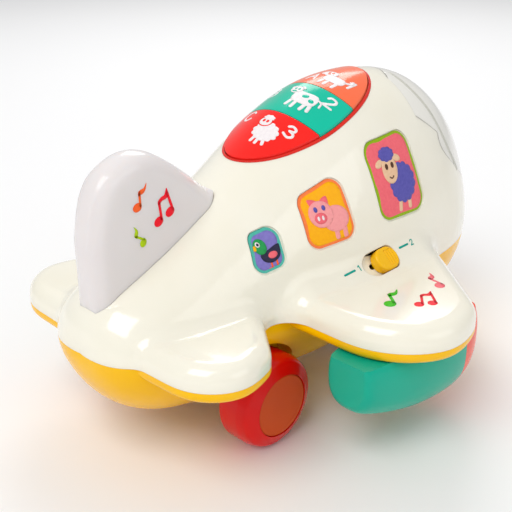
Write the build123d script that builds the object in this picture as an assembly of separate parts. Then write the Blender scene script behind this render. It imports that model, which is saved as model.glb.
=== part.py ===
"""Toddler's musical toy aeroplane: moulded shells, light-up fin, sound buttons, mode switch and drive turret.

Frame: +X points to the nose, +Y to port, +Z up. The origin is on the ground below the middle of the toy.
All lengths are millimetres.
"""

from build123d import *
from math import cos, pi, radians, sin
import os

# Fuselage
HALF_LENGTH = 111.3
PARTING_Z = 50.0
NOSE_ROOT_X = 41.0
TAIL_ROOT_X = -54.0
TAIL_HALF_WIDTH = 32.0
FRONT_HALF_WIDTH = 45.5
TAIL_RISE = 25.0
FRONT_RISE = 80.0
BELLY_DROP = 38.6
WALL = 2.4

# Wings and stabilisers
WING_RISE = 10.0
STAB_RISE = 9.0
RIM_DROP = 5.0
WING_ROOT_FILLET = 12.0
STAB_ROOT_FILLET = 9.0
WING_SHOULDER = 7.0
STAB_SHOULDER = 6.5
RIM_ROUND = 3.5

# Tail fin
FIN_HALF_WIDTH = 7.5
FIN_MIDDLE_X = -76.9
FIN_LENGTH = 61.6

# Rear wheels
WHEEL_X = -51.0
WHEEL_R = 19.5
AXLE_R = 2.0
WELL_R = 22.0
WELL_WALL_Y = 25.2
HUB_DISC_R = 13.0

# Drive turret
TURRET_X = 48.0
TURRET_R = 25.0
TURRET_BASE_Z = 8.0
DRIVE_R = 11.0
DRIVE_AXLE_R = 1.5
MOVING_GAP = 0.35

# Sound buttons
PAD_TILT = 20.0
PAD_CENTRE = (6.7, 0.0, 116.45)
PAD_HALF_LENGTH = 41.0
PAD_HALF_WIDTH = 22.8
BEZEL_WIDTH = 1.0
BUTTON_PROUD = 0.8
BUTTON_TRAVEL = 2.5
PLUNGER_END = -8.0
BOARD_TOP = -12.0

# Mode switch
SWITCH_CENTRE = (6.4, -47.4, 63.5)
SWITCH_SLOT_LENGTH = 20.4
SWITCH_SLOT_WIDTH = 10.7
SWITCH_FLOOR = -3.3
SWITCH_TRAVEL = 6.7
KNOB_TOP = 1.1

# Batteries
CELL_R = 7.1
CELL_LENGTH = 50.5
CELL_PITCH = 14.7
CELL_Z = 26.6
BATTERY_X = -10.0
DOOR_X = -16.5
DOOR_SCREW_X = -42.0

# Engine pods
POD_Y = 70.0
POD_TOP_Z = 45.0
POD_JOINT_X = 15.0
POD_SCREWS_X = (-24.0, 6.0)

# Windows: rounded panels in the side view, as (x, z) corners and corner radius
WINDOWS = {
    "rear": (((-48.2, 84.3), (-36.6, 87.0), (-36.9, 72.0), (-51.1, 69.8)), 4.0),
    "middle": (((-24.9, 93.8), (-5.0, 100.4), (-2.2, 75.6), (-25.3, 74.0)), 5.0),
    "front": (((11.2, 108.0), (38.6, 110.2), (42.2, 76.5), (13.2, 77.1)), 6.0),
}
WINDOW_DEPTH = 0.8
STICKER = 0.3

# Shell screws: (x, y) on the starboard side, and the height of the outer skin below
SHELL_SCREWS = ((-80.0, -44.0, 45.0), (-22.0, -50.0, 45.0), (88.0, -14.0, 22.0))


def smooth(t):
    t = min(max(t, 0.0), 1.0)
    return t * t * (3 - 2 * t)


def cap(s, power):
    s = min(max(s, 0.0), 1.0)
    return (1 - s**power) ** (1 / power)


def hull_semi_axes(x, inset):
    """Half width, rise above the parting plane and drop below it, at one station."""
    half = HALF_LENGTH - inset
    nose = (x - NOSE_ROOT_X) / (half - NOSE_ROOT_X)
    tail = (TAIL_ROOT_X - x) / (TAIL_ROOT_X + half)
    widening = (FRONT_HALF_WIDTH - TAIL_HALF_WIDTH) * smooth((x + 85) / 110)
    climbing = (FRONT_RISE - TAIL_RISE) * smooth((x + 105) / 135)
    width = (TAIL_HALF_WIDTH + widening - inset) * cap(nose, 2.25) * cap(tail, 3.3)
    rise = (TAIL_RISE + climbing - inset) * cap(nose, 2.3) * cap(tail, 3.3)
    drop = (BELLY_DROP - inset) * cap(nose, 2.2) * cap(tail, 2.2)
    return width, rise, drop


def hull(inset):
    """Solid fuselage, egg-shaped at the front, moved inwards by inset."""
    half = HALF_LENGTH - inset
    stations = 14
    sections = [Vertex(-half, 0, PARTING_Z)]
    for i in range(1, stations):
        x = -half * cos(pi * i / stations)
        width, rise, drop = hull_semi_axes(x, inset)
        points = []
        for k in range(12):
            a = 2 * pi * k / 12 - pi / 2
            height = rise if sin(a) > 0 else drop
            points.append((x, width * cos(a), PARTING_Z + height * sin(a)))
        sections.append(Wire([Spline(points, periodic=True)]))
    sections.append(Vertex(half, 0, PARTING_Z))
    return Solid.make_loft(sections)


def block(x0, x1, y0, y1, z0, z1):
    return Pos((x0 + x1) / 2, (y0 + y1) / 2, (z0 + z1) / 2) * Box(x1 - x0, y1 - y0, z1 - z0)


def rod_z(x, y, r, z0, z1):
    return Pos(x, y, (z0 + z1) / 2) * Cylinder(r, z1 - z0)


def rod_y(x, z, r, y0, y1):
    return Pos(x, (y0 + y1) / 2, z) * Rot(90, 0, 0) * Cylinder(r, y1 - y0)


def rod_x(y, z, r, x0, x1):
    return Pos((x0 + x1) / 2, y, z) * Rot(0, 90, 0) * Cylinder(r, x1 - x0)


def mirrored(shape):
    return mirror(shape, Plane.XZ)


def side_prism(face, y0, y1):
    """Prism through a face drawn in the XZ side view, between two y planes (y0 < y1)."""
    return extrude(Pos(0, y1, 0) * (Plane.XZ * face), amount=y1 - y0)


def scaled_about(face, x, y, factor):
    """Face drawn in the XY plane, grown or shrunk about one point."""
    return Pos(x * (1 - factor), y * (1 - factor)) * scale(face, by=factor)


ABOVE = block(-200, 200, -150, 150, PARTING_Z, 250)
BELOW = block(-200, 200, -150, 150, -100, PARTING_Z)


def wing_face():
    """Starboard wing outline at the parting plane, running in under the fuselage skin."""
    trailing = Line((-38, -15), (-38, -62))
    tip_points = [(-38, -62), (-35.2, -77), (-26, -89.5), (-12, -96.2), (3, -94.2), (15, -85.5)]
    tip = Spline(tip_points, tangents=[(0, -1), (45, 53)])
    leading = Line((15, -85.5), (54, -39.6))
    root = Polyline((54, -39.6), (60, -15), (-38, -15))
    return make_face([trailing, tip, leading, root])


def stab_face():
    """Starboard stabiliser outline at the parting plane."""
    trailing = Line((-104, -12), (-103, -38))
    tip_points = [(-103, -38), (-101, -48), (-95, -56), (-85, -60.3), (-74, -58.5), (-66, -53)]
    tip = Spline(tip_points, tangents=[(0.04, -1), (13, 16)])
    leading = Line((-66, -53), (-48, -30.8))
    root = Polyline((-48, -30.8), (-44, -12), (-104, -12))
    return make_face([trailing, tip, leading, root])


def rounded_lobe(face, height, radius):
    """Plate on the parting plane, up or down, with its free edge rounded."""
    plate = extrude(Pos(0, 0, PARTING_Z) * face, amount=height)
    end = PARTING_Z + height
    rim = [e for e in plate.edges() if abs(e.center().Z - end) < 0.01 and abs(e.center().Y) > 20]
    return fillet(rim, radius)


def root_edges(shape, x0, x1, y_limit):
    """Edges above the parting plane where a wing or stabiliser meets the fuselage."""
    found = []
    for e in shape.edges():
        c = e @ 0.5
        beside = 20 < abs(c.Y) < y_limit and x0 < c.X < x1
        if beside and c.Z > PARTING_Z + 1 and e.geom_type != GeomType.LINE:
            found.append(e)
    return found


def outer_half(body, sign):
    side = ABOVE if sign > 0 else BELOW
    if sign > 0:
        wing = rounded_lobe(wing_face(), WING_RISE, WING_SHOULDER)
        stab = rounded_lobe(stab_face(), STAB_RISE, STAB_SHOULDER)
    else:
        wing = rounded_lobe(wing_face(), -RIM_DROP, RIM_ROUND)
        stab = rounded_lobe(stab_face(), -RIM_DROP, RIM_ROUND)
    half = (body & side) + wing + stab + mirrored(wing) + mirrored(stab)
    if sign > 0:
        half = fillet(root_edges(half, -45, 62, 52), WING_ROOT_FILLET)
        half = fillet(root_edges(half, -106, -50, 36), STAB_ROOT_FILLET)
    return half


def lobe_cavities():
    """Hollows inside the wings and stabilisers, open across the parting plane."""
    low = PARTING_Z - RIM_DROP + WALL
    wing = scaled_about(wing_face(), 8, -52, 0.88)
    stab = scaled_about(stab_face(), -76, -36, 0.86)
    wing = extrude(Pos(0, 0, low) * wing, amount=WING_RISE + RIM_DROP - 2 * WALL)
    stab = extrude(Pos(0, 0, low) * stab, amount=STAB_RISE + RIM_DROP - 2 * WALL)
    return [wing, mirrored(wing), stab, mirrored(stab)]


def pad_frame(n=0.0):
    """Plane parallel to the tilted button pad, n above its centre."""
    tilt = radians(PAD_TILT)
    plane = Plane(origin=PAD_CENTRE, x_dir=(cos(tilt), 0, sin(tilt)), z_dir=(-sin(tilt), 0, cos(tilt)))
    return plane.offset(n)


def pad_prism(face, low=-40, high=40):
    return extrude(pad_frame(low) * face, amount=high - low)


def pad_divider(u, side):
    """Region of the pad plane on one side of a bowed divider near u."""
    bow = ThreePointArc((u + 2, -40), (u - 2, 0), (u + 2, 40))
    far = side * 90
    return make_face([bow, Polyline((u + 2, 40), (far, 40), (far, -40), (u + 2, -40))])


def pad_segment(low, high, shrink):
    """One button's outline: the pad ellipse between two bowed dividers."""
    face = Ellipse(PAD_HALF_LENGTH - BEZEL_WIDTH - shrink, PAD_HALF_WIDTH - BEZEL_WIDTH - shrink)
    if low is not None:
        face = face & pad_divider(low, 1)
    if high is not None:
        face = face & pad_divider(high, -1)
    return face


def switch_frame(z=0.0):
    plane = Plane(origin=SWITCH_CENTRE, x_dir=(1, 0, 0), z_dir=(0, -sin(pi / 4), cos(pi / 4)))
    return plane.offset(z)


def switch_slot(length, width, low, high, shift=0.0):
    return extrude(switch_frame(low) * (Pos(shift, 0) * SlotOverall(length, width)), amount=high - low)


def window_face(name, margin=0.0):
    corners, radius = WINDOWS[name]
    face = make_face(Polyline(*corners, close=True))
    face = fillet(face.vertices(), radius)
    return offset(face, margin) if margin else face


def fin_face(factor=1.0):
    """Side view of the tail fin with the tongue that sits in the fuselage, grown or shrunk by a factor."""
    back = Line((-104.5, 63.2), (-107.6, 70.0))
    points = [(-107.6, 70), (-107.3, 92), (-102.2, 111.2), (-91.5, 119.6), (-79.5, 120.0), (-66, 112.4)]
    points += [(-52, 101), (-46.2, 95.2), (-47.4, 88.6)]
    crown = Spline(points, tangents=[(-0.1, 1), (-0.6, -1)])
    base = Polyline((-47.4, 88.6), (-52, 82), (-104.5, 63.2))
    return scaled_about(make_face([back, crown, base]), -77, 92, factor)


def fin_plan(margin):
    """Upright column with the rounded-ended outline that the fin has from above."""
    length = FIN_LENGTH + 2 * margin
    outline = SlotOverall(length, 2 * (FIN_HALF_WIDTH + margin))
    return extrude(Pos(FIN_MIDDLE_X, 0, 40) * outline, amount=100)


def windscreen_face(factor=1.0):
    """Front view of the windscreen, as (y, z), grown or shrunk by a factor."""
    top = ThreePointArc((-31.5, 102.8), (0, 128.4), (31.5, 102.8))
    right = ThreePointArc((31.5, 102.8), (35.6, 90), (33, 78))
    left = ThreePointArc((-31.5, 102.8), (-35.6, 90), (-33, 78))
    sill = ThreePointArc((-33, 78), (0, 70), (33, 78))
    face = make_face([top, right, sill, left])
    face = fillet(face.vertices().sort_by(Axis.Y)[:2] + face.vertices().sort_by(Axis.Y)[-2:], 5)
    return scaled_about(face, 0, 98, factor)


def windscreen_prism(factor=1.0):
    return extrude(Plane.YZ.offset(52) * windscreen_face(factor), amount=86)


def pod_solid():
    """Engine pod on the starboard side, a barrel with a blunt tail, flat where it meets the wing."""
    sections = []
    for x, half_width, bottom in (
        (-43.0, 8.0, 27.5),
        (-41.8, 9.8, 25.0),
        (-38.0, 11.2, 22.6),
        (-28.0, 13.2, 18.8),
        (-14.0, 15.2, 15.0),
        (2.0, 16.2, 12.8),
        (16.0, 15.6, 13.0),
        (25.0, 13.6, 15.6),
        (30.5, 10.6, 19.8),
        (33.0, 7.0, 24.5),
    ):
        top = 50.0
        middle = (top + bottom) / 2
        height = (top - bottom) / 2
        points = []
        for k in range(20):
            a = 2 * pi * k / 20
            c, s = cos(a), sin(a)
            power = 2 / 2.6
            y = half_width * abs(c) ** power * (1 if c > 0 else -1)
            z = height * abs(s) ** power * (1 if s > 0 else -1)
            points.append((x, -POD_Y + y, middle + z))
        sections.append(Wire([Spline(points, periodic=True)]))
    barrel = Solid.make_loft(sections)
    return barrel & block(-60, 60, -100, -40, 0, POD_TOP_Z)


def wheel_profile_solid(points_face):
    return revolve(points_face, axis=Axis((WHEEL_X, 0, WHEEL_R), (0, 1, 0)))


def rear_wheel():
    """Port-side wheel, turned about the rear axle."""
    r0 = AXLE_R + 0.06
    tread = Polyline((r0, 27), (16.5, 27), (WHEEL_R, 30), (WHEEL_R, 39), (18.4, 43))
    dish = Polyline((18.4, 43), (13.1, 45.5), (13.1, 43.7), (6.0, 43.7), (6.0, 39.4), (r0, 39.4), (r0, 27))
    face = make_face([tread, dish])
    soft = [v for v in face.vertices() if v.X > 16 or v.Y > 45]
    face = fillet([v for v in soft if abs(v.Y - 27) > 0.1 and v.Y < 45], 2.6)
    face = Pos(WHEEL_X, 0, WHEEL_R) * face
    return wheel_profile_solid(face)


os.makedirs("parts", exist_ok=True)
nodes = {}

body_outer = hull(0)
body_inner = hull(WALL)
body_recess = hull(WINDOW_DEPTH)
screen_seat = hull(1.6)


def pair(shape):
    return [shape, mirrored(shape)]


# Upper shell: the posts are left standing in the hollow
posts = []
for u in (-43.5, 43.5):
    for v in (-8, 8):
        posts.append(pad_frame() * Pos(u, v, BOARD_TOP + 12) * Cylinder(2.5, 24))
for x, y, z in SHELL_SCREWS:
    posts += pair(rod_z(x, y, 3.6, 40, 68))
    if abs(y) < 30:
        posts += pair(block(x, x + 30, y - 1.2, y + 1.2, 40, 68))
for x in (-9.5, 9.5):
    posts.append(switch_frame() * Pos(x, 0, -8.0) * Cylinder(1.8, 6.0))
hollow = [body_inner - posts] + [c - posts for c in lobe_cavities()]
upper = outer_half(body_outer, 1) - hollow
cuts = [pad_prism(Ellipse(PAD_HALF_LENGTH, PAD_HALF_WIDTH), -14, 40)]
for name in WINDOWS:
    cuts.append(side_prism(window_face(name, 0.6), -60, 60) - body_recess)
cuts.append(windscreen_prism(1.008) - screen_seat)
cuts.append(side_prism(fin_face(1.004), -8, 8) & fin_plan(0.1))
cuts.append(switch_slot(SWITCH_SLOT_LENGTH, SWITCH_SLOT_WIDTH, SWITCH_FLOOR, 12))
cuts.append(switch_slot(9.6, 2.4, -14, 0))
for x, y, z in SHELL_SCREWS:
    cuts += pair(rod_z(x, y, 1.2, PARTING_Z - 1, 56.5))
for cut in cuts:
    upper = upper - cut
nodes["upper_shell"] = upper

# Lower shell: wheel wells, turret collar, speaker ring and screw bosses are left standing
standing = pair(rod_y(WHEEL_X, WHEEL_R, WELL_R + 2, -70, -WELL_WALL_Y + 1.8))
standing += pair(rod_y(WHEEL_X, WHEEL_R, 4.5, -30, -17))
standing.append(rod_z(TURRET_X, 0, 29.5, 5, 26.3))
standing.append(rod_z(-80, 0, 16, 5, 25) - rod_z(-80, 0, 14.2, 0, 30))
for x, y, z in SHELL_SCREWS:
    standing += pair(rod_z(x, y, 4.4, 0, 60))
hollow = [body_inner - standing] + [c - standing for c in lobe_cavities()]
lower = outer_half(body_outer, -1) - hollow
cuts = pair(rod_y(WHEEL_X, WHEEL_R, WELL_R, -70, -WELL_WALL_Y) & block(-100, 0, -70, 0, -10, 44.6))
cuts = [c - rod_y(WHEEL_X, WHEEL_R, 4.5, -26.5, 26.5) for c in cuts]
cuts.append(rod_y(WHEEL_X, WHEEL_R, AXLE_R, -60, 60))
cuts.append(rod_z(TURRET_X, 0, TURRET_R + MOVING_GAP, 0, 40))
cuts.append(rod_z(TURRET_X, 0, 28.0, 23.7, 40))
cuts.append(extrude(Pos(DOOR_X, 0) * RectangleRounded(61, 42, 4), amount=40))
for i in range(13):
    ring = 0 if i == 0 else (5.2 if i < 7 else 10.4)
    turn = 2 * pi * i / 6 + (pi / 6 if i >= 7 else 0)
    cuts.append(rod_z(-80 + ring * cos(turn), ring * sin(turn), 1.25, 5, 30))
for x, y, z in SHELL_SCREWS:
    cuts += pair(rod_z(x, y, 3.0, 0, 47))
    cuts += pair(rod_z(x, y, 1.2, 40, 60))
for x in POD_SCREWS_X:
    cuts += pair(rod_z(x, -POD_Y, 1.2, 44, 48))
for cut in cuts:
    lower = lower - cut
nodes["lower_shell"] = lower

screws = []
for x, y, z in SHELL_SCREWS:
    screws += pair(rod_z(x, y, 2.8, 45.2, 47) + rod_z(x, y, 1.2, 47, 56))
nodes["shell_screws"] = Compound(children=screws)

# Windows and windscreen
film = hull(WINDOW_DEPTH - STICKER)
for name in WINDOWS:
    panes = (film & side_prism(window_face(name), -60, 60)) - body_recess
    panes = panes.solids().sort_by(Axis.Y)
    nodes["window_" + name + "_right"] = panes[0]
    nodes["window_" + name + "_left"] = panes[-1]
nodes["windscreen"] = (hull(0.1) & windscreen_prism()) - hull(1.5)

# Tail fin lens and its light
fin = side_prism(fin_face(), -FIN_HALF_WIDTH, FIN_HALF_WIDTH)
crown_edges = []
for e in fin.edges():
    c = e @ 0.5
    if abs(abs(c.Y) - FIN_HALF_WIDTH) < 0.01 and e.geom_type == GeomType.BSPLINE:
        crown_edges.append(e)
fin = fillet(crown_edges, 3.5) & fin_plan(0)
fin_base = Pos(-78.25, 0, 72.6) * Rot(0, -19.7, 0)
fin_hollow = side_prism(fin_face(0.92), -6, 6) & fin_plan(-2.2)
nodes["tail_fin_lens"] = fin - fin_hollow - fin_base * Box(44, 10, 12)
light_board = fin_base * Pos(0, 0, -0.8) * Box(50, 14, 1.6)
for u in (-12, 12):
    light_board = light_board + fin_base * Pos(u, 0, 2.5) * Cylinder(2.5, 5) + fin_base * Pos(u, 0, 5) * Sphere(2.5)
nodes["fin_light_board"] = light_board

# Sound buttons
ring = Ellipse(PAD_HALF_LENGTH, PAD_HALF_WIDTH)
hole = Ellipse(PAD_HALF_LENGTH - BEZEL_WIDTH, PAD_HALF_WIDTH - BEZEL_WIDTH)
nodes["button_bezel"] = (hull(-0.2) & pad_prism(ring - hole, -20, 40)) - hull(3.2)
gap = MOVING_GAP
button_top = hull(-BUTTON_PROUD)
button_base = hull(4.5)
flange_top = hull(3.2 + gap)
segments = {
    "rear": (None, -10 - gap / 2, -24.0, 4.5),
    "middle": (-10 + gap / 2, 12 - gap / 2, 1.0, 6.5),
    "front": (12 + gap / 2, None, 25.0, 2.5),
}
for name, (low, high, u, plunger_top) in segments.items():
    cap_body = button_top & pad_prism(pad_segment(low, high, gap), -20, 40)
    flange = flange_top & pad_prism(pad_segment(low, high, -0.9), -20, 40)
    plunger = pad_frame() * Pos(u, 0, (PLUNGER_END + plunger_top) / 2) * Cylinder(4, plunger_top - PLUNGER_END)
    nodes["button_" + name] = (cap_body + flange) - button_base + plunger
    nodes["contact_pad_" + name] = pad_frame() * Pos(u, 0, BOARD_TOP + 0.6) * Cylinder(5, 1.2)
nodes["button_board"] = pad_frame() * Pos(0, 0, BOARD_TOP - 0.8) * Box(92, 32, 1.6)

# Mode switch
knob_x = SWITCH_TRAVEL / 2
knob = switch_slot(13, 10, SWITCH_FLOOR + 0.3, KNOB_TOP, knob_x)
knob_rim = [e for e in knob.edges() if switch_frame().to_local_coords(e.center()).Z > KNOB_TOP - 0.1]
knob = fillet(knob_rim, 1.0)
for i in range(4):
    groove = switch_frame() * Pos(knob_x + i * 1.5, 0, KNOB_TOP + 0.2) * Rot(90, 0, 0) * Cylinder(0.6, 7)
    knob = knob - groove
knob = knob + switch_frame() * Pos(knob_x, 0, -6.5) * Box(2.2, 1.6, 8)
nodes["mode_knob"] = knob
switch_box = switch_frame() * Pos(0, 0, -13.5) * Box(24, 8, 5)
switch_box = switch_box - switch_frame() * Pos(0, 0, -12) * Box(11.6, 4.1, 4)
nodes["mode_switch"] = switch_box

# Engine pods
pod = pod_solid()
pod_bolts = []
for x in POD_SCREWS_X:
    pod = pod - rod_z(x, -POD_Y, 1.2, 36, 46)
    pod_bolts += pair(rod_z(x, -POD_Y, 2.8, 47.4, 49) + rod_z(x, -POD_Y, 1.2, 36, 47.4))
nodes["pod_screws"] = Compound(children=pod_bolts)
pod_front = pod & block(POD_JOINT_X, 60, -100, -40, 0, 60)
pod_rear = pod & block(-60, POD_JOINT_X, -100, -40, 0, 60)
nodes["engine_pod_right"] = pod_rear
nodes["engine_pod_left"] = mirrored(pod_rear)
nodes["pod_nose_right"] = pod_front
nodes["pod_nose_left"] = mirrored(pod_front)

# Rear wheels
wheel = rear_wheel()
hub_disc = rod_y(WHEEL_X, WHEEL_R, HUB_DISC_R, 43.7, 45.3)
hub_disc = fillet(hub_disc.edges().sort_by(Axis.Y)[-1], 0.6)
nodes["rear_wheel_left"] = wheel
nodes["rear_wheel_right"] = mirrored(wheel)
nodes["hub_disc_left"] = hub_disc
nodes["hub_disc_right"] = mirrored(hub_disc)
nodes["rear_axle"] = rod_y(WHEEL_X, WHEEL_R, AXLE_R, -42, 42)
clip = rod_y(WHEEL_X, WHEEL_R, 5, 39.8, 40.6) - rod_y(WHEEL_X, WHEEL_R, AXLE_R, 30, 50)
nodes["axle_clips"] = Compound(children=[clip, mirrored(clip)])

# Drive turret
drum = rod_z(TURRET_X, 0, TURRET_R, TURRET_BASE_Z, 26) + rod_z(TURRET_X, 0, 27.6, 24, 26)
drum = drum - rod_z(TURRET_X, 0, TURRET_R - 2, TURRET_BASE_Z + 2.4, 30)
drum = drum - block(TURRET_X - 11.8, TURRET_X + 11.8, -17.4, 17.4, 0, 15)
nodes["turret_drum"] = drum
gearbox = block(TURRET_X - 11, TURRET_X + 11, -9.4, 9.4, TURRET_BASE_Z + 0.4, 38)
gearbox = gearbox + block(TURRET_X - 20, TURRET_X + 20, -6, 6, TURRET_BASE_Z + 2.4, TURRET_BASE_Z + 4.4)
gearbox = gearbox - rod_y(TURRET_X, DRIVE_R, DRIVE_AXLE_R + 0.06, -20, 20)
nodes["drive_gearbox"] = gearbox
motor = rod_y(TURRET_X, 48, 10, -13, 13) & block(TURRET_X - 20, TURRET_X + 20, -20, 20, 38, 70)
nodes["drive_motor"] = motor
wheel_ring = rod_y(TURRET_X, DRIVE_R, DRIVE_R, 10.6, 16.4)
wheel_ring = fillet(wheel_ring.edges().filter_by(GeomType.CIRCLE), 1.0)
wheel_ring = wheel_ring - rod_y(TURRET_X, DRIVE_R, DRIVE_AXLE_R, 5, 20)
nodes["drive_wheel_left"] = wheel_ring
nodes["drive_wheel_right"] = mirrored(wheel_ring)
nodes["drive_axle"] = rod_y(TURRET_X, DRIVE_R, DRIVE_AXLE_R, -16.9, 16.9)
retainer = rod_z(TURRET_X, 0, 29.5, 26.3, 28) - rod_z(TURRET_X, 0, 26, 20, 40)
nodes["turret_retainer"] = retainer & hull(2.4)

# Batteries
half_bay = CELL_LENGTH / 2 + 1.2
tray = block(BATTERY_X - half_bay - 1.2, BATTERY_X + half_bay + 1.2, -23.4, 23.4, 12, 35.6)
tray = tray + rod_z(DOOR_SCREW_X, 0, 3.6, 16.2, 30) + block(-41, -37, -1.5, 1.5, 16.2, 30)
tray = tray & hull(WALL)
tray = tray - block(BATTERY_X - half_bay, BATTERY_X + half_bay, -22.2, 22.2, 0, 34)
tray = tray - rod_z(DOOR_SCREW_X, 0, 1.9, 10, 28)
for x in (-30, 10):
    for y in (-18, 18):
        tray = tray + rod_z(x, y, 2.5, 35.6, 38.6)
nodes["battery_tray"] = tray
cells = []
for y in (-CELL_PITCH, 0, CELL_PITCH):
    turn = -1 if y == 0 else 1
    can = rod_x(y, CELL_Z, CELL_R, BATTERY_X - 25.25, BATTERY_X + 24.25)
    can = can + rod_x(y, CELL_Z, 2.7, BATTERY_X + 24.25, BATTERY_X + 25.25)
    if turn < 0:
        can = Pos(2 * BATTERY_X, 0, 0) * mirror(can, Plane.YZ)
    cells.append(can)
nodes["battery_cells"] = Compound(children=cells)
plates = []
for x0, x1 in ((BATTERY_X - half_bay, BATTERY_X - 25.25), (BATTERY_X + 25.25, BATTERY_X + half_bay)):
    for y in (-CELL_PITCH, 0, CELL_PITCH):
        plates.append(block(x0, x1, y - 5, y + 5, 21, 32))
nodes["battery_contacts"] = Compound(children=plates)
door = (body_outer - hull(2.0)) & extrude(Pos(DOOR_X, 0) * RectangleRounded(60.3, 41.3, 3.65), amount=40)
door = door + (rod_z(DOOR_SCREW_X, 0, 3.8, 10, 15.8) & body_outer)
door = door - rod_z(DOOR_SCREW_X, 0, 3.0, 5, 13.6) - rod_z(DOOR_SCREW_X, 0, 1.5, 5, 20)
nodes["battery_door"] = door
nodes["door_screw"] = rod_z(DOOR_SCREW_X, 0, 2.8, 12.0, 13.6) + rod_z(DOOR_SCREW_X, 0, 1.5, 13.6, 24)

# Electronics
main_board = block(-35, 13, -21, 21, 38.6, 40.2)
main_board = main_board + block(-20, -6, -6, 6, 40.2, 41.8) + rod_z(4, 10, 4, 40.2, 50)
main_board = main_board + block(-32, -24, -16, -4, 40.2, 46) + rod_z(4, -10, 3, 40.2, 47)
nodes["main_board"] = main_board
speaker = rod_z(-80, 0, 16, 25, 27) + Pos(-80, 0, 30) * Cone(14, 9, 6) + rod_z(-80, 0, 9, 33, 38)
nodes["speaker"] = speaker

for name, shape in nodes.items():
    export_step(shape, "parts/" + name + ".step")
    print(name, "solids", len(shape.solids()))
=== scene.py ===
"""Looks for the toddler's musical toy aeroplane: plastics, prints, fin lens, floor, light and camera."""

from math import atan2, cos, hypot, pi, radians, sin, tan

import bmesh
import bpy
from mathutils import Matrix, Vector
from mathutils.bvhtree import BVHTree
from mathutils.geometry import delaunay_2d_cdt


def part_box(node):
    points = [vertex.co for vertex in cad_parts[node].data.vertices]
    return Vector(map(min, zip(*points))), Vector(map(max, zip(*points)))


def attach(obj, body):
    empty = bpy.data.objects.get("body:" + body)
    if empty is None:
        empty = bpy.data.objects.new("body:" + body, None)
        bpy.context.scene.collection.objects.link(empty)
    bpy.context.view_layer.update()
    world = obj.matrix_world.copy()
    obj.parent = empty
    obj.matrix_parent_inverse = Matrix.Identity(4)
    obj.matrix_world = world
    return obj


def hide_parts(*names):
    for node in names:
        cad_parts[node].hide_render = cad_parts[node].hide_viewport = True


MM = 0.001

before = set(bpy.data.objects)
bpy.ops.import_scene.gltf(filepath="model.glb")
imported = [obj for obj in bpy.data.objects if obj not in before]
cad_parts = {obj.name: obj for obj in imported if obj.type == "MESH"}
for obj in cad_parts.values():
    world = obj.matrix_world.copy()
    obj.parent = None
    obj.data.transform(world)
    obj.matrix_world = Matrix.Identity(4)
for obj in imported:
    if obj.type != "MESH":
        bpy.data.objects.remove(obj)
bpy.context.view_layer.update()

# ---------------------------------------------------------------- materials


def srgb(red, green, blue):
    """Linear colour from ordinary 0-255 values."""
    def linear(c):
        c = c / 255
        return c / 12.92 if c < 0.04045 else ((c + 0.055) / 1.055) ** 2.4
    return (linear(red), linear(green), linear(blue), 1.0)


class Graph:
    """Small helper that adds nodes to one material and links them."""

    def __init__(self, name):
        self.material = bpy.data.materials.new(name)
        self.material.use_nodes = True
        self.tree = self.material.node_tree
        self.shader = self.tree.nodes["Principled BSDF"]
        self.place = self.add("ShaderNodeTexCoord").outputs["Object"]

    def add(self, kind, **settings):
        node = self.tree.nodes.new(kind)
        for key, value in settings.items():
            setattr(node, key, value)
        return node

    def link(self, output, socket):
        self.tree.links.new(output, socket)

    def noise(self, scale, detail=3.0, stretch=None):
        """Noise with this many features in a metre."""
        node = self.add("ShaderNodeTexNoise")
        node.inputs["Scale"].default_value = scale
        node.inputs["Detail"].default_value = detail
        place = self.place
        if stretch:
            mapping = self.add("ShaderNodeMapping")
            mapping.inputs["Scale"].default_value = stretch
            self.link(place, mapping.inputs["Vector"])
            place = mapping.outputs["Vector"]
        self.link(place, node.inputs["Vector"])
        return node.outputs["Fac"]

    def spread(self, value, low, high, start=0.3, end=0.7):
        """Maps start..end of a value to low..high."""
        node = self.add("ShaderNodeMapRange")
        self.link(value, node.inputs["Value"])
        node.inputs["From Min"].default_value = start
        node.inputs["From Max"].default_value = end
        node.inputs["To Min"].default_value = low
        node.inputs["To Max"].default_value = high
        return node.outputs["Result"]

    def mix(self, factor, first, second):
        node = self.add("ShaderNodeMix", data_type="RGBA")
        self.link(factor, node.inputs["Factor"])
        for socket, value in ((node.inputs["A"], first), (node.inputs["B"], second)):
            if isinstance(value, tuple):
                socket.default_value = value
            else:
                self.link(value, socket)
        return node.outputs["Result"]

    def bump(self, height, distance, strength, normal=None):
        node = self.add("ShaderNodeBump")
        node.inputs["Distance"].default_value = distance
        node.inputs["Strength"].default_value = strength
        self.link(height, node.inputs["Height"])
        if normal:
            self.link(normal, node.inputs["Normal"])
        return node.outputs["Normal"]


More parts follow.
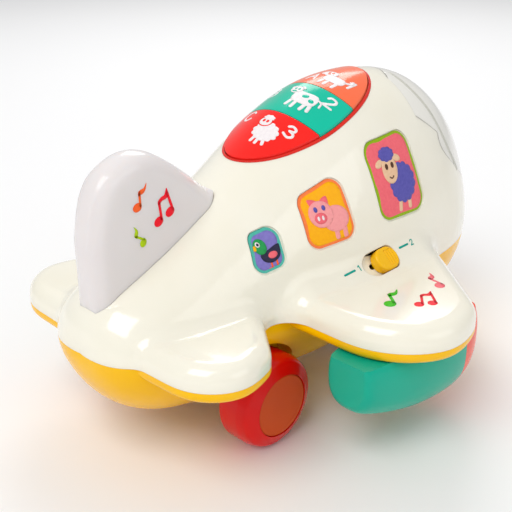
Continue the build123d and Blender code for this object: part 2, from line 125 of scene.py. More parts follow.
def moulded(name, colour, shade, roughness=0.16, coat=0.1, grain=0.10, softness=0.35, glow=0.0, shine=0.22):
    """Moulded plastic: slow colour drift, sink marks, a faint skin, handling marks and softened edges."""
    g = Graph(name)
    drift = g.spread(g.noise(26, 2), 0.0, 1.0)
    g.link(g.mix(drift, colour, shade), g.shader.inputs["Base Color"])
    marks = g.spread(g.noise(420, 5, (1.0, 0.25, 1.0)), 0.0, 1.0, 0.58, 0.78)
    patches = g.spread(g.noise(55, 3), roughness - 0.03, roughness + 0.04)
    worn = g.add("ShaderNodeMath", operation="MULTIPLY_ADD")
    g.link(marks, worn.inputs[0])
    worn.inputs[1].default_value = 0.05
    g.link(patches, worn.inputs[2])
    g.link(worn.outputs["Value"], g.shader.inputs["Roughness"])
    edge = g.add("ShaderNodeBevel", samples=4)
    edge.inputs["Radius"].default_value = softness * MM
    sink = g.bump(g.noise(38, 1), 0.25 * MM, 0.04, edge.outputs["Normal"])
    skin = g.bump(g.noise(1500, 2), 0.05 * MM, grain, sink)
    g.link(skin, g.shader.inputs["Normal"])
    g.shader.inputs["Specular IOR Level"].default_value = shine
    g.shader.inputs["Coat Weight"].default_value = coat
    g.shader.inputs["Coat Roughness"].default_value = 0.06
    if glow:
        g.shader.inputs["Subsurface Weight"].default_value = glow
        g.shader.inputs["Subsurface Radius"].default_value = (1.0, 0.9, 0.8)
        g.shader.inputs["Subsurface Scale"].default_value = 0.004
    return g.material


def printed(name, colour, shade):
    """Screen-printed ink: thin, slightly mottled, a little duller than the plastic below."""
    g = Graph(name)
    g.link(g.mix(g.spread(g.noise(900, 3), 0.0, 1.0), colour, shade), g.shader.inputs["Base Color"])
    g.link(g.spread(g.noise(600, 2), 0.3, 0.42), g.shader.inputs["Roughness"])
    g.shader.inputs["Specular IOR Level"].default_value = 0.2
    g.link(g.bump(g.noise(2600, 2), 0.03 * MM, 0.15), g.shader.inputs["Normal"])
    return g.material


def metal(name, colour, shade, roughness):
    """Plain or zinc-plated steel, brushed along X."""
    g = Graph(name)
    g.link(g.mix(g.noise(220, 4), colour, shade), g.shader.inputs["Base Color"])
    brushed = g.noise(900, 4, (0.1, 1, 1))
    g.link(g.spread(brushed, roughness, roughness + 0.16), g.shader.inputs["Roughness"])
    g.link(g.bump(g.noise(1800, 2, (0.1, 1, 1)), 0.04 * MM, 0.2), g.shader.inputs["Normal"])
    g.shader.inputs["Metallic"].default_value = 1.0
    return g.material


CREAM = moulded("cream_plastic", srgb(247, 243, 228), srgb(243, 238, 220), 0.13, 0.5, 0.05, 0.5, 0.08, 0.5)
YELLOW = moulded("yellow_plastic", srgb(255, 198, 0), srgb(252, 190, 0), 0.2)
SCREEN = moulded("windscreen_plastic", srgb(240, 238, 230), srgb(235, 233, 226), 0.12, 0.6)
RED = moulded("red_plastic", srgb(228, 8, 2), srgb(216, 5, 2), 0.22)
RUST = moulded("dark_orange_plastic", srgb(212, 76, 0), srgb(200, 68, 0), 0.34, 0.0)
TEAL = moulded("teal_plastic", srgb(0, 176, 148), srgb(0, 168, 140), 0.2)
CORAL = moulded("coral_plastic", srgb(247, 88, 62), srgb(240, 80, 56), 0.2)
BUTTON_RED = moulded("button_red", srgb(252, 34, 26), srgb(245, 28, 22), 0.18, 0.2)
BUTTON_TEAL = moulded("button_teal", srgb(0, 196, 164), srgb(0, 188, 157), 0.18, 0.2)
BUTTON_ORANGE = moulded("button_orange", srgb(255, 118, 76), srgb(250, 110, 68), 0.18, 0.2)
BEZEL = moulded("bezel_red", srgb(226, 46, 34), srgb(214, 40, 30), 0.22)
KNOB = moulded("knob_yellow", srgb(255, 198, 10), srgb(250, 190, 6), 0.24, 0.2)
BLACK = moulded("black_plastic", srgb(38, 38, 42), srgb(30, 30, 34), 0.4, 0.0, 0.3)
GREY = moulded("grey_plastic", srgb(188, 190, 192), srgb(178, 180, 183), 0.38, 0.0, 0.3)
RUBBER = moulded("rubber", srgb(52, 52, 56), srgb(44, 44, 48), 0.62, 0.0, 0.5)
TYRE = moulded("drive_wheel_rubber", srgb(70, 70, 76), srgb(58, 58, 64), 0.6, 0.0, 0.5)
BOARD = moulded("circuit_board", srgb(18, 112, 62), srgb(14, 98, 54), 0.35, 0.2, 0.3)
PAPER = moulded("speaker_cone", srgb(66, 62, 58), srgb(54, 50, 47), 0.7, 0.0, 0.8)
CELL = moulded("cell_sleeve", srgb(60, 108, 150), srgb(52, 98, 140), 0.3, 0.3)
STEEL = metal("steel", (0.62, 0.62, 0.63, 1), (0.52, 0.52, 0.54, 1), 0.24)
TIN = metal("plated_contact", (0.72, 0.71, 0.68, 1), (0.62, 0.61, 0.6, 1), 0.2)
LENS = moulded("milky_lens", srgb(232, 227, 226), srgb(227, 221, 221), 0.2, 0.35, 0.05, 0.4, 0.55)

INKS = {
    "white": printed("ink_white", srgb(246, 240, 240), srgb(238, 230, 232)),
    "red": printed("ink_red", srgb(250, 14, 42), srgb(242, 8, 34)),
    "orange": printed("ink_orange", srgb(255, 104, 40), srgb(250, 94, 34)),
    "lime": printed("ink_lime", srgb(182, 212, 0), srgb(172, 204, 0)),
    "green": printed("ink_green", srgb(62, 196, 12), srgb(54, 186, 8)),
    "rose": printed("ink_rose", srgb(246, 112, 122), srgb(240, 102, 114)),
    "amber": printed("ink_amber", srgb(255, 182, 0), srgb(252, 174, 0)),
    "violet": printed("ink_violet", srgb(132, 122, 196), srgb(122, 112, 188)),
    "indigo": printed("ink_indigo", srgb(96, 92, 178), srgb(86, 82, 168)),
    "skin": printed("ink_skin", srgb(238, 200, 164), srgb(232, 190, 152)),
    "pig": printed("ink_pig", srgb(250, 164, 164), srgb(245, 154, 156)),
    "leaf": printed("ink_leaf", srgb(40, 160, 84), srgb(32, 150, 76)),
    "navy": printed("ink_navy", srgb(46, 44, 72), srgb(38, 36, 62)),
    "brown": printed("ink_brown", srgb(92, 58, 36), srgb(80, 48, 30)),
    "teal": printed("ink_teal", srgb(0, 168, 152), srgb(0, 158, 142)),
    "sky": printed("ink_teal_border", srgb(84, 186, 170), srgb(74, 178, 160)),
    "grass": printed("ink_grass_border", srgb(150, 184, 18), srgb(140, 176, 12)),
    # Painted shade: light grey ink laid along the windscreen groove in place of the shade that falls in it
    "groove_shade": printed("painted_groove_shade", srgb(212, 211, 200), srgb(203, 202, 191)),
    "tangerine": printed("ink_tangerine_border", srgb(252, 132, 70), srgb(248, 122, 60)),
}

INKS["button_red"] = BUTTON_RED
INKS["button_teal"] = BUTTON_TEAL
INKS["button_orange"] = BUTTON_ORANGE

FINISHES = {
    "upper_shell": CREAM,
    "lower_shell": YELLOW,
    "windscreen": SCREEN,
    "tail_fin_lens": LENS,
    "fin_light_board": BOARD,
    "button_bezel": BEZEL,
    "button_rear": BUTTON_RED,
    "button_middle": BUTTON_TEAL,
    "button_front": BUTTON_ORANGE,
    "button_board": BOARD,
    "mode_knob": KNOB,
    "mode_switch": BLACK,
    "turret_drum": GREY,
    "drive_gearbox": GREY,
    "drive_motor": STEEL,
    "drive_axle": STEEL,
    "rear_axle": STEEL,
    "axle_clips": STEEL,
    "shell_screws": STEEL,
    "pod_screws": STEEL,
    "door_screw": STEEL,
    "turret_retainer": BLACK,
    "battery_tray": BLACK,
    "battery_cells": CELL,
    "battery_contacts": TIN,
    "battery_door": YELLOW,
    "main_board": BOARD,
    "speaker": PAPER,
}
for side in ("left", "right"):
    FINISHES["engine_pod_" + side] = TEAL
    FINISHES["pod_nose_" + side] = CORAL
    FINISHES["rear_wheel_" + side] = RED
    FINISHES["hub_disc_" + side] = RUST
    FINISHES["drive_wheel_" + side] = TYRE
    FINISHES["window_rear_" + side] = INKS["sky"]
    FINISHES["window_middle_" + side] = INKS["tangerine"]
    FINISHES["window_front_" + side] = INKS["grass"]
for place in ("rear", "middle", "front"):
    FINISHES["contact_pad_" + place] = RUBBER

for name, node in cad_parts.items():
    node.data.materials.clear()
    node.data.materials.append(FINISHES[name])

# ---------------------------------------------------------------- outlines, in millimetres


def ellipse(x, y, rx, ry, turn=0.0, count=28):
    t = radians(turn)
    loop = []
    for i in range(count):
        a = 2 * pi * i / count
        u, v = rx * cos(a), ry * sin(a)
        loop.append((x + u * cos(t) - v * sin(t), y + u * sin(t) + v * cos(t)))
    return loop


def woolly(x, y, rx, ry, curls, depth):
    """Ellipse with a scalloped edge."""
    loop = []
    count = curls * 8
    for i in range(count):
        a = 2 * pi * i / count
        swell = 1 + depth * abs(sin(curls * a / 2))
        loop.append((x + rx * swell * cos(a), y + ry * swell * sin(a)))
    return loop


def between(a, b, c, d, t):
    """Catmull-Rom value between b and c."""
    return 0.5 * (2 * b + (c - a) * t + (2 * a - 5 * b + 4 * c - d) * t**2 + (3 * b - a - 3 * c + d) * t**3)


def curve_through(points, closed, steps=6):
    """Smooth line through a few points."""
    count = len(points)
    line = []
    for i in range(count if closed else count - 1):
        if closed:
            p = [points[(i + k) % count] for k in (-1, 0, 1, 2)]
        else:
            p = [points[min(max(i + k, 0), count - 1)] for k in (-1, 0, 1, 2)]
        for s in range(steps):
            line.append(tuple(between(*values, s / steps) for values in zip(*p)))
    if not closed:
        line.append(points[-1])
    return line


def blob(*points):
    return curve_through(points, True)


def stroke(width, *points):
    """Outline of a pen line with round ends."""
    line = curve_through(points, False) if len(points) > 2 else list(points)
    half = width / 2
    left, right = [], []
    for i, (x, y) in enumerate(line):
        x0, y0 = line[max(i - 1, 0)]
        x1, y1 = line[min(i + 1, len(line) - 1)]
        length = hypot(x1 - x0, y1 - y0)
        nx, ny = (y0 - y1) / length * half, (x1 - x0) / length * half
        left.append((x + nx, y + ny))
        right.append((x - nx, y - ny))

    def end_cap(centre, start):
        first = atan2(start[1] - centre[1], start[0] - centre[0])
        turns = [first - pi * k / 6 for k in range(1, 6)]
        return [(centre[0] + half * cos(a), centre[1] + half * sin(a)) for a in turns]

    return left + end_cap(line[-1], left[-1]) + right[::-1] + end_cap(line[0], right[0])


def rounded(corners, radius, inset=0.0):
    """Polygon with rounded corners, moved inwards by inset. The corners run clockwise."""
    count = len(corners)
    loop = []
    for i in range(count):
        a, b, c = (Vector(corners[(i + k) % count]) for k in (-1, 0, 1))
        before, after = (a - b).normalized(), (c - b).normalized()
        half = before.angle(after) / 2
        centre = b + (before + after).normalized() * (radius / sin(half))
        touch = b + before * (radius / tan(half))
        first = atan2(touch.y - centre.y, touch.x - centre.x)
        bend = radius - inset
        for k in range(9):
            angle = first - (pi - 2 * half) * k / 8
            loop.append((centre.x + bend * cos(angle), centre.y + bend * sin(angle)))
    return loop


def moved(loops, x=0.0, y=0.0, size=1.0, turn=0.0):
    """Several (ink, outline) layers turned, scaled and moved together."""
    t = radians(turn)
    out = []
    for ink, loop in loops:
        out.append((ink, [
            (x + size * (u * cos(t) - v * sin(t)), y + size * (u * sin(t) + v * cos(t))) for u, v in loop
        ]))
    return out


# ---------------------------------------------------------------- artwork pressed onto the plastic

STAND_OFF = 60
REACH = 80
INK_RISE = 0.05
INK_ROOT = 0.03


class Face:
    """View of some nodes or pieces along one direction, on which flat artwork is laid out in millimetres."""

    def __init__(self, origin, right, up, outward, on):
        self.origin = Vector(origin) * MM
        self.right = Vector(right).normalized()
        self.up = Vector(up).normalized()
        self.outward = Vector(outward).normalized()
        self.trees = [tree_of(piece) for piece in on]

    def press(self, u, v):
        """The point and normal of the plastic under (u, v)."""
        start = self.origin + (self.right * u + self.up * v + self.outward * STAND_OFF) * MM
        best = None
        for tree in self.trees:
            hit, normal, _, distance = tree.ray_cast(start, -self.outward, REACH * MM)
            if hit is not None and (best is None or distance < best[2]):
                best = (hit, normal, distance)
        if best is None:
            raise ValueError(f"the artwork misses the plastic at {u:.1f}, {v:.1f}")
        hit, normal, _ = best
        return hit, (normal if normal.dot(self.outward) > 0 else -normal)


trees = {}


def tree_of(piece):
    """Search tree of a CAD node, by name, or of a finished piece."""
    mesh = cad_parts[piece].data if isinstance(piece, str) else piece.data
    if mesh.name not in trees:
        corners = [v.co for v in mesh.vertices]
        trees[mesh.name] = BVHTree.FromPolygons(corners, [p.vertices for p in mesh.polygons])
    return trees[mesh.name]


def inside(point, loop):
    odd = False
    x, y = point
    for (x0, y0), (x1, y1) in zip(loop, loop[1:] + loop[:1]):
        if (y0 > y) != (y1 > y) and x < (x1 - x0) * (y - y0) / (y1 - y0) + x0:
            odd = not odd
    return odd


def filled(loop, step, within=None):
    """Triangles that fill an outline on a grid of this step, kept within a second outline if there is one."""
    xs, ys = [p[0] for p in loop], [p[1] for p in loop]
    points = [Vector(p) for p in loop]
    for i in range(int((max(xs) - min(xs)) / step) + 1):
        for j in range(int((max(ys) - min(ys)) / step) + 1):
            p = (min(xs) + (i + 0.5) * step, min(ys) + (j + 0.5) * step)
            if inside(p, loop):
                points.append(Vector(p))
    edges = [(i, (i + 1) % len(loop)) for i in range(len(loop))]
    if within:
        first = len(points)
        points += [Vector(p) for p in within]
        edges += [(first + i, first + (i + 1) % len(within)) for i in range(len(within))]
    points, _, faces = delaunay_2d_cdt(points, edges, [], 0, 1e-6)[:3]
    kept = []
    for f in faces:
        middle = sum((points[i] for i in f), Vector((0, 0))) / 3
        if inside(middle, loop) and (within is None or inside(middle, within)):
            kept.append(f)
    return points, kept


def artwork(name, face, layers, body, step=1.2, layer_step=0.035, within=None):
    """One piece made of thin inked patches, each a little above the one before."""
    mesh = bmesh.new()
    inks = []
    for number, (ink, loop) in enumerate(layers):
        if ink not in inks:
            inks.append(ink)
        height = (INK_RISE + layer_step * number) * MM
        points, triangles = filled(loop, step, within)
        used = sorted({i for t in triangles for i in t})
        top, bottom = {}, {}
        for i in used:
            hit, normal = face.press(points[i].x, points[i].y)
            top[i] = mesh.verts.new(hit + normal * height)
            bottom[i] = mesh.verts.new(hit - normal * INK_ROOT * MM)
        sides = {}
        for t in triangles:
            a, b, c = (top[i] for i in t)
            up = (b.co - a.co).cross(c.co - a.co).dot(face.outward) > 0
            t = t if up else t[::-1]
            mesh.faces.new([top[i] for i in t])
            mesh.faces.new([bottom[i] for i in t[::-1]])
            for k in range(3):
                sides[(t[k], t[(k + 1) % 3])] = True
        for a, b in sides:
            if (b, a) not in sides:
                mesh.faces.new([top[b], top[a], bottom[a], bottom[b]])
        for f in mesh.faces:
            if not f.tag:
                f.material_index = inks.index(ink)
                f.tag = True
    for f in mesh.faces:
        f.smooth = True
    for e in mesh.edges:
        e.smooth = len(e.link_faces) == 2 and e.calc_face_angle(0) < 0.6
    return new_piece(name, mesh, [INKS[ink] for ink in inks], body)


def new_piece(name, mesh, materials, body):
    data = bpy.data.meshes.new(name)
    mesh.to_mesh(data)
    mesh.free()
    for material in materials:
        data.materials.append(material)
    piece = bpy.data.objects.new(name, data)
    bpy.context.scene.collection.objects.link(piece)
    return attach(piece, body)


# ---------------------------------------------------------------- tail fin


def tail_fin():
    """Pillow-shaped lens between its hidden base line and its crown, as thick as the CAD lens."""
    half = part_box("tail_fin_lens")[1].y / MM
    crown = curve_through([
        (-104.5, 63.6), (-107.4, 70), (-107.4, 92), (-102.2, 111.2), (-91.5, 119.4), (-79.5, 120.0),
        (-66, 112.4), (-52, 101), (-46.4, 95.2), (-47.4, 88.6), (-52, 82),
    ], False, 10)
    (x0, z0), (x1, z1) = crown[0], crown[-1]
    back, front = min(x for x, _ in crown), max(x for x, _ in crown)
    ridge = [(x, z) for x, z in crown if z > 90 and x < -50]
    edge = 6.5
    rows = 18

    def swell(depth):
        return max(0.0, 1 - (1 - min(1.0, depth)) ** 2) ** 0.5

    mesh = bmesh.new()
    grid = {}
    last = len(crown) - 1
    for i, (x, z) in enumerate(crown):
        t = i / last
        for k in range(rows + 1):
            s = 1 - (1 - k / rows) ** 2
            px = (x0 + (x1 - x0) * t) * (1 - s) + x * s
            pz = (z0 + (z1 - z0) * t) * (1 - s) + z * s
            crown_depth = min(hypot(cx - px, cz - pz) for cx, cz in ridge) / edge
            end_depth = min(px - back, front - px) / half
            thick = 0.0 if k == rows else half * min(swell(crown_depth), swell(end_depth))
            for y in (-1, 1):
                grid[i, k, y] = mesh.verts.new((px * MM, y * thick * MM, pz * MM))
    for i in range(last):
        for k in range(rows):
            for y in (-1, 1):
                patch = [grid[i, k, y], grid[i + 1, k, y], grid[i + 1, k + 1, y], grid[i, k + 1, y]]
                mesh.faces.new(patch[::y])
        base = [grid[i, 0, -1], grid[i, 0, 1], grid[i + 1, 0, 1], grid[i + 1, 0, -1]]
        if i == 0:
            base.insert(1, grid[0, rows, -1])
        if i == last - 1:
            base.insert(3, grid[last, rows, -1])
        mesh.faces.new(base)
    bmesh.ops.remove_doubles(mesh, verts=mesh.verts, dist=1e-6)
    bmesh.ops.dissolve_degenerate(mesh, edges=mesh.edges, dist=1e-6)
    bmesh.ops.recalc_face_normals(mesh, faces=mesh.faces)
    for f in mesh.faces:
        f.smooth = True
    piece = new_piece("fin_lens", mesh, [LENS], "airframe")
    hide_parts("tail_fin_lens")
    return piece


FIN = tail_fin()

# ---------------------------------------------------------------- music notes

SINGLE_NOTE = [
    ellipse(0, 0, 2.5, 2.1, 20),
    stroke(1.3, (1.7, 0.6), (0.8, 6.8)),
    blob((0.2, 6.9), (1.4, 8.0), (3.2, 8.6), (4.6, 10.8), (4.4, 8.2), (3.4, 6.4), (1.6, 5.6), (0.4, 5.2)),
]
DOUBLE_NOTE = [
    ellipse(0, 0, 2.5, 2.1, 20),
    ellipse(6.6, 1.6, 2.5, 2.1, 20),
    stroke(1.3, (1.7, 0.6), (2.0, 8.0)),
    stroke(1.3, (8.2, 2.2), (7.0, 10.4)),
    blob((1.5, 6.4), (1.5, 8.6), (3.4, 9.8), (5.4, 10.2), (7.0, 12.6), (7.4, 10.6), (6.4, 8.2), (3.6, 8.0)),
]


def note(ink, parts, x, y, size, turn, height=1.0):
    return moved([(ink, [(u, v * height) for u, v in loop]) for loop in parts], x, y, size, turn)


SIDES = (("right", -1), ("left", 1))


def side_face(y, nodes, origin=(0, 0, 0)):
    """View of one flank with +X to the right, so a drawing comes out mirrored on the port side."""
    return Face(origin, (1, 0, 0), (0, 0, 1), (0, y, 0), nodes)


for side, y in SIDES:
    layers = note("orange", SINGLE_NOTE, -87.0, 102.0, 0.8, -6)
    layers += note("red", DOUBLE_NOTE, -77.6, 94.0, 0.88, 10)
    layers += note("lime", SINGLE_NOTE, -85.2, 88.0, 0.7, 52)
    artwork("fin_notes_" + side, side_face(y, [FIN]), layers, "airframe", layer_step=0.0)

    # On the wing the notes stand upright for someone behind the wing, with the nose to their right
    behind = radians(45) * y
    right, up = (cos(behind), sin(behind), 0), (cos(behind), -sin(behind), 0)
    wing = Face((0, 0, 60), right, up, (0, 0, 1), ["upper_shell"])
    layers = note("green", SINGLE_NOTE, 36.8, -60.6, 1.0, 0, 1.15)
    layers += note("red", DOUBLE_NOTE, 47.8, -61.2, 0.8, -4, 1.15)
    layers += note("rose", SINGLE_NOTE, 59.0, -45.0, 0.9, 30, 1.15)
    artwork("wing_notes_" + side, wing, layers, "airframe", layer_step=0.0)

    # Painted shade: a grey line from the front of the pad down the edge of the windscreen, standing in for
    # the shade that falls in the groove there
    groove_shade_line = stroke(2.2, (59.5, 126.0), (62.0, 120.0), (65.5, 112.0), (68.5, 103.0), (72.5, 93.0), (78.0, 84.0))
    flank = side_face(y, ["upper_shell", "windscreen"])
    artwork("windscreen_groove_shade_" + side, flank, [("groove_shade", groove_shade_line)], "airframe")

# ---------------------------------------------------------------- window pictures

WINDOWS = {
    "rear": (((-48.2, 84.3), (-36.6, 87.0), (-36.9, 72.0), (-51.1, 69.8)), 4.0),
    "middle": (((-24.9, 93.8), (-5.0, 100.4), (-2.2, 75.6), (-25.3, 74.0)), 5.0),
    "front": (((11.2, 108.0), (38.6, 110.2), (42.2, 76.5), (13.2, 77.1)), 6.0),
}


def duck():
    return [
        ("orange", stroke(0.8, (0.4, -3.6), (0.4, -6.4))),
        ("orange", stroke(0.8, (2.8, -3.6), (2.8, -6.4))),
        ("orange", stroke(0.9, (-0.8, -6.6), (0.6, -6.4))),
        ("orange", stroke(0.9, (1.6, -6.6), (3.0, -6.4))),
        ("navy", blob((-3.0, -1.2), (0.6, 0.2), (5.4, 1.6), (4.6, -2.6), (1.2, -4.4), (-2.2, -3.6))),
        ("rose", ellipse(1.8, -1.8, 2.0, 1.2, 12)),
        ("leaf", ellipse(-2.2, 1.6, 2.5, 2.7)),
        ("amber", blob((-4.0, 2.2), (-6.2, 1.2), (-4.2, 0.4))),
        ("white", ellipse(-2.9, 2.4, 0.9, 0.9)),
        ("navy", ellipse(-2.9, 2.4, 0.5, 0.5)),
    ]


def pig():
    return [
        ("pig", stroke(2.2, (3.0, -4.5), (3.0, -8.8))),
        ("pig", stroke(2.2, (7.0, -4.5), (7.0, -8.8))),
        ("pig", ellipse(3.8, -1.8, 6.2, 5.0)),
        ("rose", blob((-6.6, 6.6), (-2.8, 5.6), (-5.2, 2.8))),
        ("rose", blob((1.8, 7.0), (-1.4, 5.6), (1.4, 3.0))),
        ("pig", ellipse(-2.4, 0.8, 5.4, 5.0)),
        ("rose", ellipse(-3.0, -0.6, 2.8, 2.1)),
        ("white", ellipse(-4.0, -0.6, 0.5, 0.9)),
        ("white", ellipse(-2.0, -0.6, 0.5, 0.9)),
        ("indigo", ellipse(-4.4, 2.8, 0.8, 1.0)),
        ("indigo", ellipse(-0.8, 3.0, 0.8, 1.0)),
    ]


def sheep():
    return [
        ("skin", stroke(2.2, (0.4, -9.0), (-0.6, -13.2))),
        ("skin", stroke(2.2, (6.0, -9.0), (5.8, -13.2))),
        ("indigo", woolly(3.6, -3.0, 7.6, 7.6, 13, 0.1)),
        ("skin", ellipse(-8.2, 6.6, 2.6, 1.4, 20)),
        ("skin", ellipse(2.6, 7.2, 2.6, 1.4, -20)),
        ("skin", ellipse(-2.8, 3.6, 4.6, 5.8)),
        ("indigo", woolly(-2.8, 9.4, 4.2, 2.6, 9, 0.12)),
        ("brown", ellipse(-4.6, 4.8, 0.9, 1.2)),
        ("brown", ellipse(-1.0, 4.9, 0.9, 1.2)),
        ("brown", stroke(0.45, (-4.0, 0.6), (-2.8, -0.1), (-1.6, 0.6))),
    ]


PICTURES = {
    "rear": ("violet", duck()),
    "middle": ("amber", pig()),
    "front": ("rose", sheep()),
}

for name, (corners, radius) in WINDOWS.items():
    centre_x = sum(c[0] for c in corners) / 4
    centre_z = sum(c[1] for c in corners) / 4
    ground, animal = PICTURES[name]
    outline = rounded([(x - centre_x, z - centre_z) for x, z in corners], radius, 1.0)
    for side, y in SIDES:
        pane = side_face(y, [f"window_{name}_{side}"], (centre_x, 0, centre_z))
        layers = [(ground, outline)] + animal
        artwork(f"picture_{name}_{side}", pane, layers, "airframe", within=outline)

# ---------------------------------------------------------------- button prints

ANIMAL_SIZE = 1.3
TILT = radians(20)
PAD_CENTRE = (6.7, 0.0, 116.45)
PAD_FORWARD = (cos(TILT), 0, sin(TILT))
PAD_OUT = (-sin(TILT), 0, cos(TILT))

CHARACTERS = {
    "A": [
        stroke(1.0, (-2.2, -2.8), (0, 2.8)),
        stroke(1.0, (0, 2.8), (2.2, -2.8)),
        stroke(0.9, (-1.3, -0.8), (1.3, -0.8)),
    ],
    "B": [
        stroke(1.0, (-1.7, -2.8), (-1.7, 2.8)),
        stroke(1.0, (-1.7, 2.8), (0.8, 2.6), (1.4, 1.4), (0.8, 0.2), (-1.7, 0.1)),
        stroke(1.0, (-1.7, 0.1), (1.1, 0.0), (2.0, -1.4), (1.1, -2.7), (-1.7, -2.8)),
    ],
    "C": [
        stroke(1.0, (2.0, 1.7), (0.4, 2.8), (-1.6, 2.0), (-2.3, 0), (-1.6, -2.0), (0.4, -2.8), (2.0, -1.8)),
    ],
    "1": [stroke(1.1, (-1.1, 1.7), (0.4, 2.8)), stroke(1.1, (0.4, 2.8), (0.4, -2.8))],
    "2": [
        stroke(1.1, (-1.8, 1.5), (-0.8, 2.7), (1.2, 2.4), (1.6, 0.9), (0.2, -0.9), (-1.9, -2.7)),
        stroke(1.1, (-1.9, -2.7), (2.0, -2.7)),
    ],
    "3": [
        stroke(1.1, (-1.7, 1.9), (-0.3, 2.8), (1.4, 2.2), (1.3, 0.8), (-0.3, 0.2)),
        stroke(1.1, (-0.3, 0.2), (1.6, -0.3), (1.9, -1.7), (0.4, -2.8), (-1.8, -2.0)),
    ],
}


def character(ink, letter, x, y, size, turn):
    return moved([(ink, loop) for loop in CHARACTERS[letter]], x, y, size, turn)


def printed_sheep(ground):
    return [
        ("white", stroke(1.1, (-1.4, -3.0), (-1.8, -5.6))),
        ("white", stroke(1.1, (0.2, -3.2), (0.2, -5.9))),
        ("white", stroke(1.1, (1.8, -3.0), (2.6, -5.4))),
        ("white", woolly(0.4, -0.8, 4.2, 3.4, 11, 0.14)),
        (ground, ellipse(-2.2, 2.8, 2.6, 2.2)),
        ("white", ellipse(-2.2, 2.8, 2.2, 1.8)),
        ("white", woolly(-2.0, 4.6, 1.8, 1.0, 7, 0.2)),
        (ground, ellipse(-3.0, 3.0, 0.5, 0.6)),
        (ground, ellipse(-1.5, 3.0, 0.5, 0.6)),
    ]


def printed_cow(ground):
    return [
        ("white", stroke(1.2, (-1.6, -2.0), (-2.2, -5.4))),
        ("white", stroke(1.2, (0.2, -2.4), (0.2, -5.8))),
        ("white", stroke(1.2, (3.6, -2.0), (3.4, -5.4))),
        ("white", stroke(1.2, (5.0, -1.4), (5.6, -4.8))),
        ("white", stroke(0.6, (5.4, 1.4), (7.0, 0.8), (7.4, -1.0))),
        ("white", blob((-2.6, 1.6), (1, 2.2), (4.8, 2.4), (6, 0.4), (5.2, -2.6), (0.8, -3.2), (-2.4, -2.4))),
        (ground, ellipse(1.4, 0.4, 1.2, 0.8, 20)),
        (ground, ellipse(4.2, -0.6, 1.0, 0.8, -20)),
        ("white", ellipse(-3.6, 2.4, 2.3, 1.9)),
        ("white", ellipse(-5.4, 3.6, 1.0, 0.5, 30)),
        ("white", ellipse(-1.8, 4.0, 1.0, 0.5, -30)),
        (ground, ellipse(-4.3, 2.8, 0.45, 0.55)),
        (ground, ellipse(-2.9, 2.8, 0.45, 0.55)),
        (ground, ellipse(-3.8, 1.4, 1.0, 0.35)),
    ]


def printed_dog(ground):
    return [
        ("white", stroke(1.1, (-1.8, -2.0), (-2.2, -5.0))),
        ("white", stroke(1.1, (0.0, -2.4), (0.0, -5.2))),
        ("white", stroke(1.1, (3.0, -2.0), (3.0, -5.0))),
        ("white", stroke(0.9, (3.6, 0.2), (5.4, 1.6), (5.2, 3.2))),
        ("white", blob((-2.6, 1.0), (0.8, 1.4), (4.0, 1.0), (4.2, -2.0), (0.8, -2.8), (-2.4, -2.2))),
        ("white", ellipse(-3.0, 2.4, 2.3, 1.9)),
        ("white", ellipse(-5.0, 2.4, 0.8, 1.5, -15)),
        ("white", ellipse(-1.0, 2.6, 0.8, 1.5, 15)),
        (ground, ellipse(-3.7, 2.8, 0.45, 0.55)),
        (ground, ellipse(-2.3, 2.8, 0.45, 0.55)),
        (ground, ellipse(-3.0, 1.6, 0.6, 0.4)),
    ]


# Places are (across, forward) in the pad plane: across runs from port to starboard
BUTTON_PRINTS = {
    "rear": ("button_red", "C", "3", printed_sheep, (-11.6, -16.0), (3.4, -22.6), (12.4, -18.4)),
    "middle": ("button_teal", "B", "2", printed_cow, (-13.2, 2.4), (3.6, 0.6), (14.6, 5.0)),
    "front": ("button_orange", "A", "1", printed_dog, (-3.6, 17.6), (5.2, 19.6), (12.6, 21.2)),
}

for name, (ground, letter, digit, animal, letter_at, animal_at, digit_at) in BUTTON_PRINTS.items():
    pad = Face(PAD_CENTRE, (0, -1, 0), PAD_FORWARD, PAD_OUT, ["button_" + name])
    layers = character("white", letter, *letter_at, 1.0, 0)
    layers += character("white", digit, *digit_at, 1.0, 0)
    layers += moved(animal(ground), *animal_at, ANIMAL_SIZE)
    artwork("print_" + name, pad, layers, f"button_{name}_body", step=0.9, layer_step=0.02)

# ---------------------------------------------------------------- mode numbers

SWITCH_CENTRE = (6.4, -47.4, 63.5)
LABEL_RISE = 1.6
DASH = 5.6
NUMBER_GAP = 2.7

for number, x in (("1", -20.2), ("2", 13.4)):
    label = Face(SWITCH_CENTRE, (1, 0, 0), (0, 0.7, 0.7), (0, -0.7, 0.7), ["upper_shell"])
    layers = [("teal", stroke(0.9, (x, LABEL_RISE), (x + DASH, LABEL_RISE)))]
    layers += character("teal", number, x + DASH + NUMBER_GAP, LABEL_RISE, 0.42, 0)
    artwork("mode_label_" + number, label, layers, "airframe", step=0.8, layer_step=0.0)

# ---------------------------------------------------------------- floor and light

LIGHTS_AIM = Vector((0, 0, 0.06))


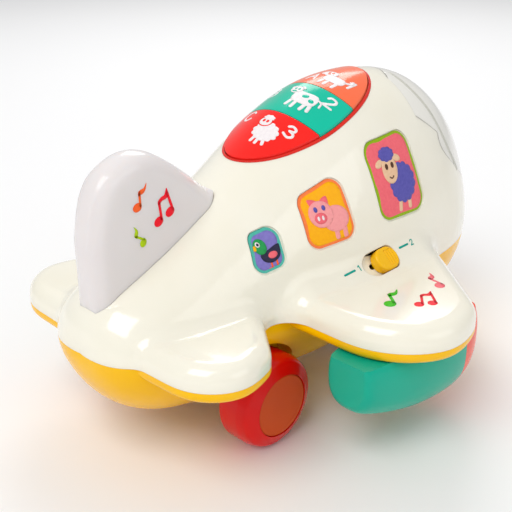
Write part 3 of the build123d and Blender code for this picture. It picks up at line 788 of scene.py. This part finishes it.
def soft_light(name, place, width, height, power):
    """Area light pointed at the middle of the toy: places in metres, power in watts."""
    data = bpy.data.lights.new(name, "AREA")
    data.shape = "RECTANGLE"
    data.size, data.size_y, data.energy = width, height, power
    light = bpy.data.objects.new(name, data)
    light.location = place
    light.rotation_euler = (LIGHTS_AIM - Vector(place)).to_track_quat("-Z", "Y").to_euler()
    bpy.context.scene.collection.objects.link(light)


def floor():
    mesh = bmesh.new()
    bmesh.ops.create_grid(mesh, x_segments=24, y_segments=24, size=5.0)
    data = bpy.data.meshes.new("floor")
    mesh.to_mesh(data)
    mesh.free()
    g = Graph("floor_paper")
    g.link(g.mix(g.noise(3, 2), srgb(247, 247, 247), srgb(244, 244, 245)), g.shader.inputs["Base Color"])
    g.link(g.spread(g.noise(400, 2), 0.65, 0.8), g.shader.inputs["Roughness"])
    g.link(g.bump(g.noise(900, 2), 0.05 * MM, 0.1), g.shader.inputs["Normal"])
    data.materials.append(g.material)
    ground = bpy.data.objects.new("floor", data)
    bpy.context.scene.collection.objects.link(ground)


floor()
world = bpy.data.worlds.new("studio")
world.use_nodes = True
world.node_tree.nodes["Background"].inputs["Color"].default_value = (1.0, 1.0, 1.0, 1.0)
world.node_tree.nodes["Background"].inputs["Strength"].default_value = 0.56
bpy.context.scene.world = world
soft_light("key", (-0.75, -0.15, 1.0), 0.7, 0.7, 6.5)
soft_light("fill", (0.2, -1.1, 0.55), 0.9, 0.6, 1.6)
soft_light("rim", (0.7, 0.6, 0.9), 0.6, 0.6, 5)
bpy.context.scene.view_settings.view_transform = "Standard"

# ---------------------------------------------------------------- camera

camera_data = bpy.data.cameras.new("camera")
camera = bpy.data.objects.new("camera", camera_data)
bpy.context.scene.collection.objects.link(camera)
CAMERA_TARGET = Vector((-4.3, 14.3, 50)) * MM
CAMERA_DISTANCE = 0.4
azimuth, elevation = radians(-45.9), radians(24.1)
back = Vector((sin(azimuth) * cos(elevation), -cos(azimuth) * cos(elevation), sin(elevation)))
camera.location = CAMERA_TARGET + back * CAMERA_DISTANCE
camera.rotation_mode = "QUATERNION"
camera.rotation_quaternion = (-back).to_track_quat("-Z", "Y")
camera_data.sensor_width = 36
camera_data.lens = 61.875
camera_data.clip_start = 0.01
bpy.context.scene.camera = camera
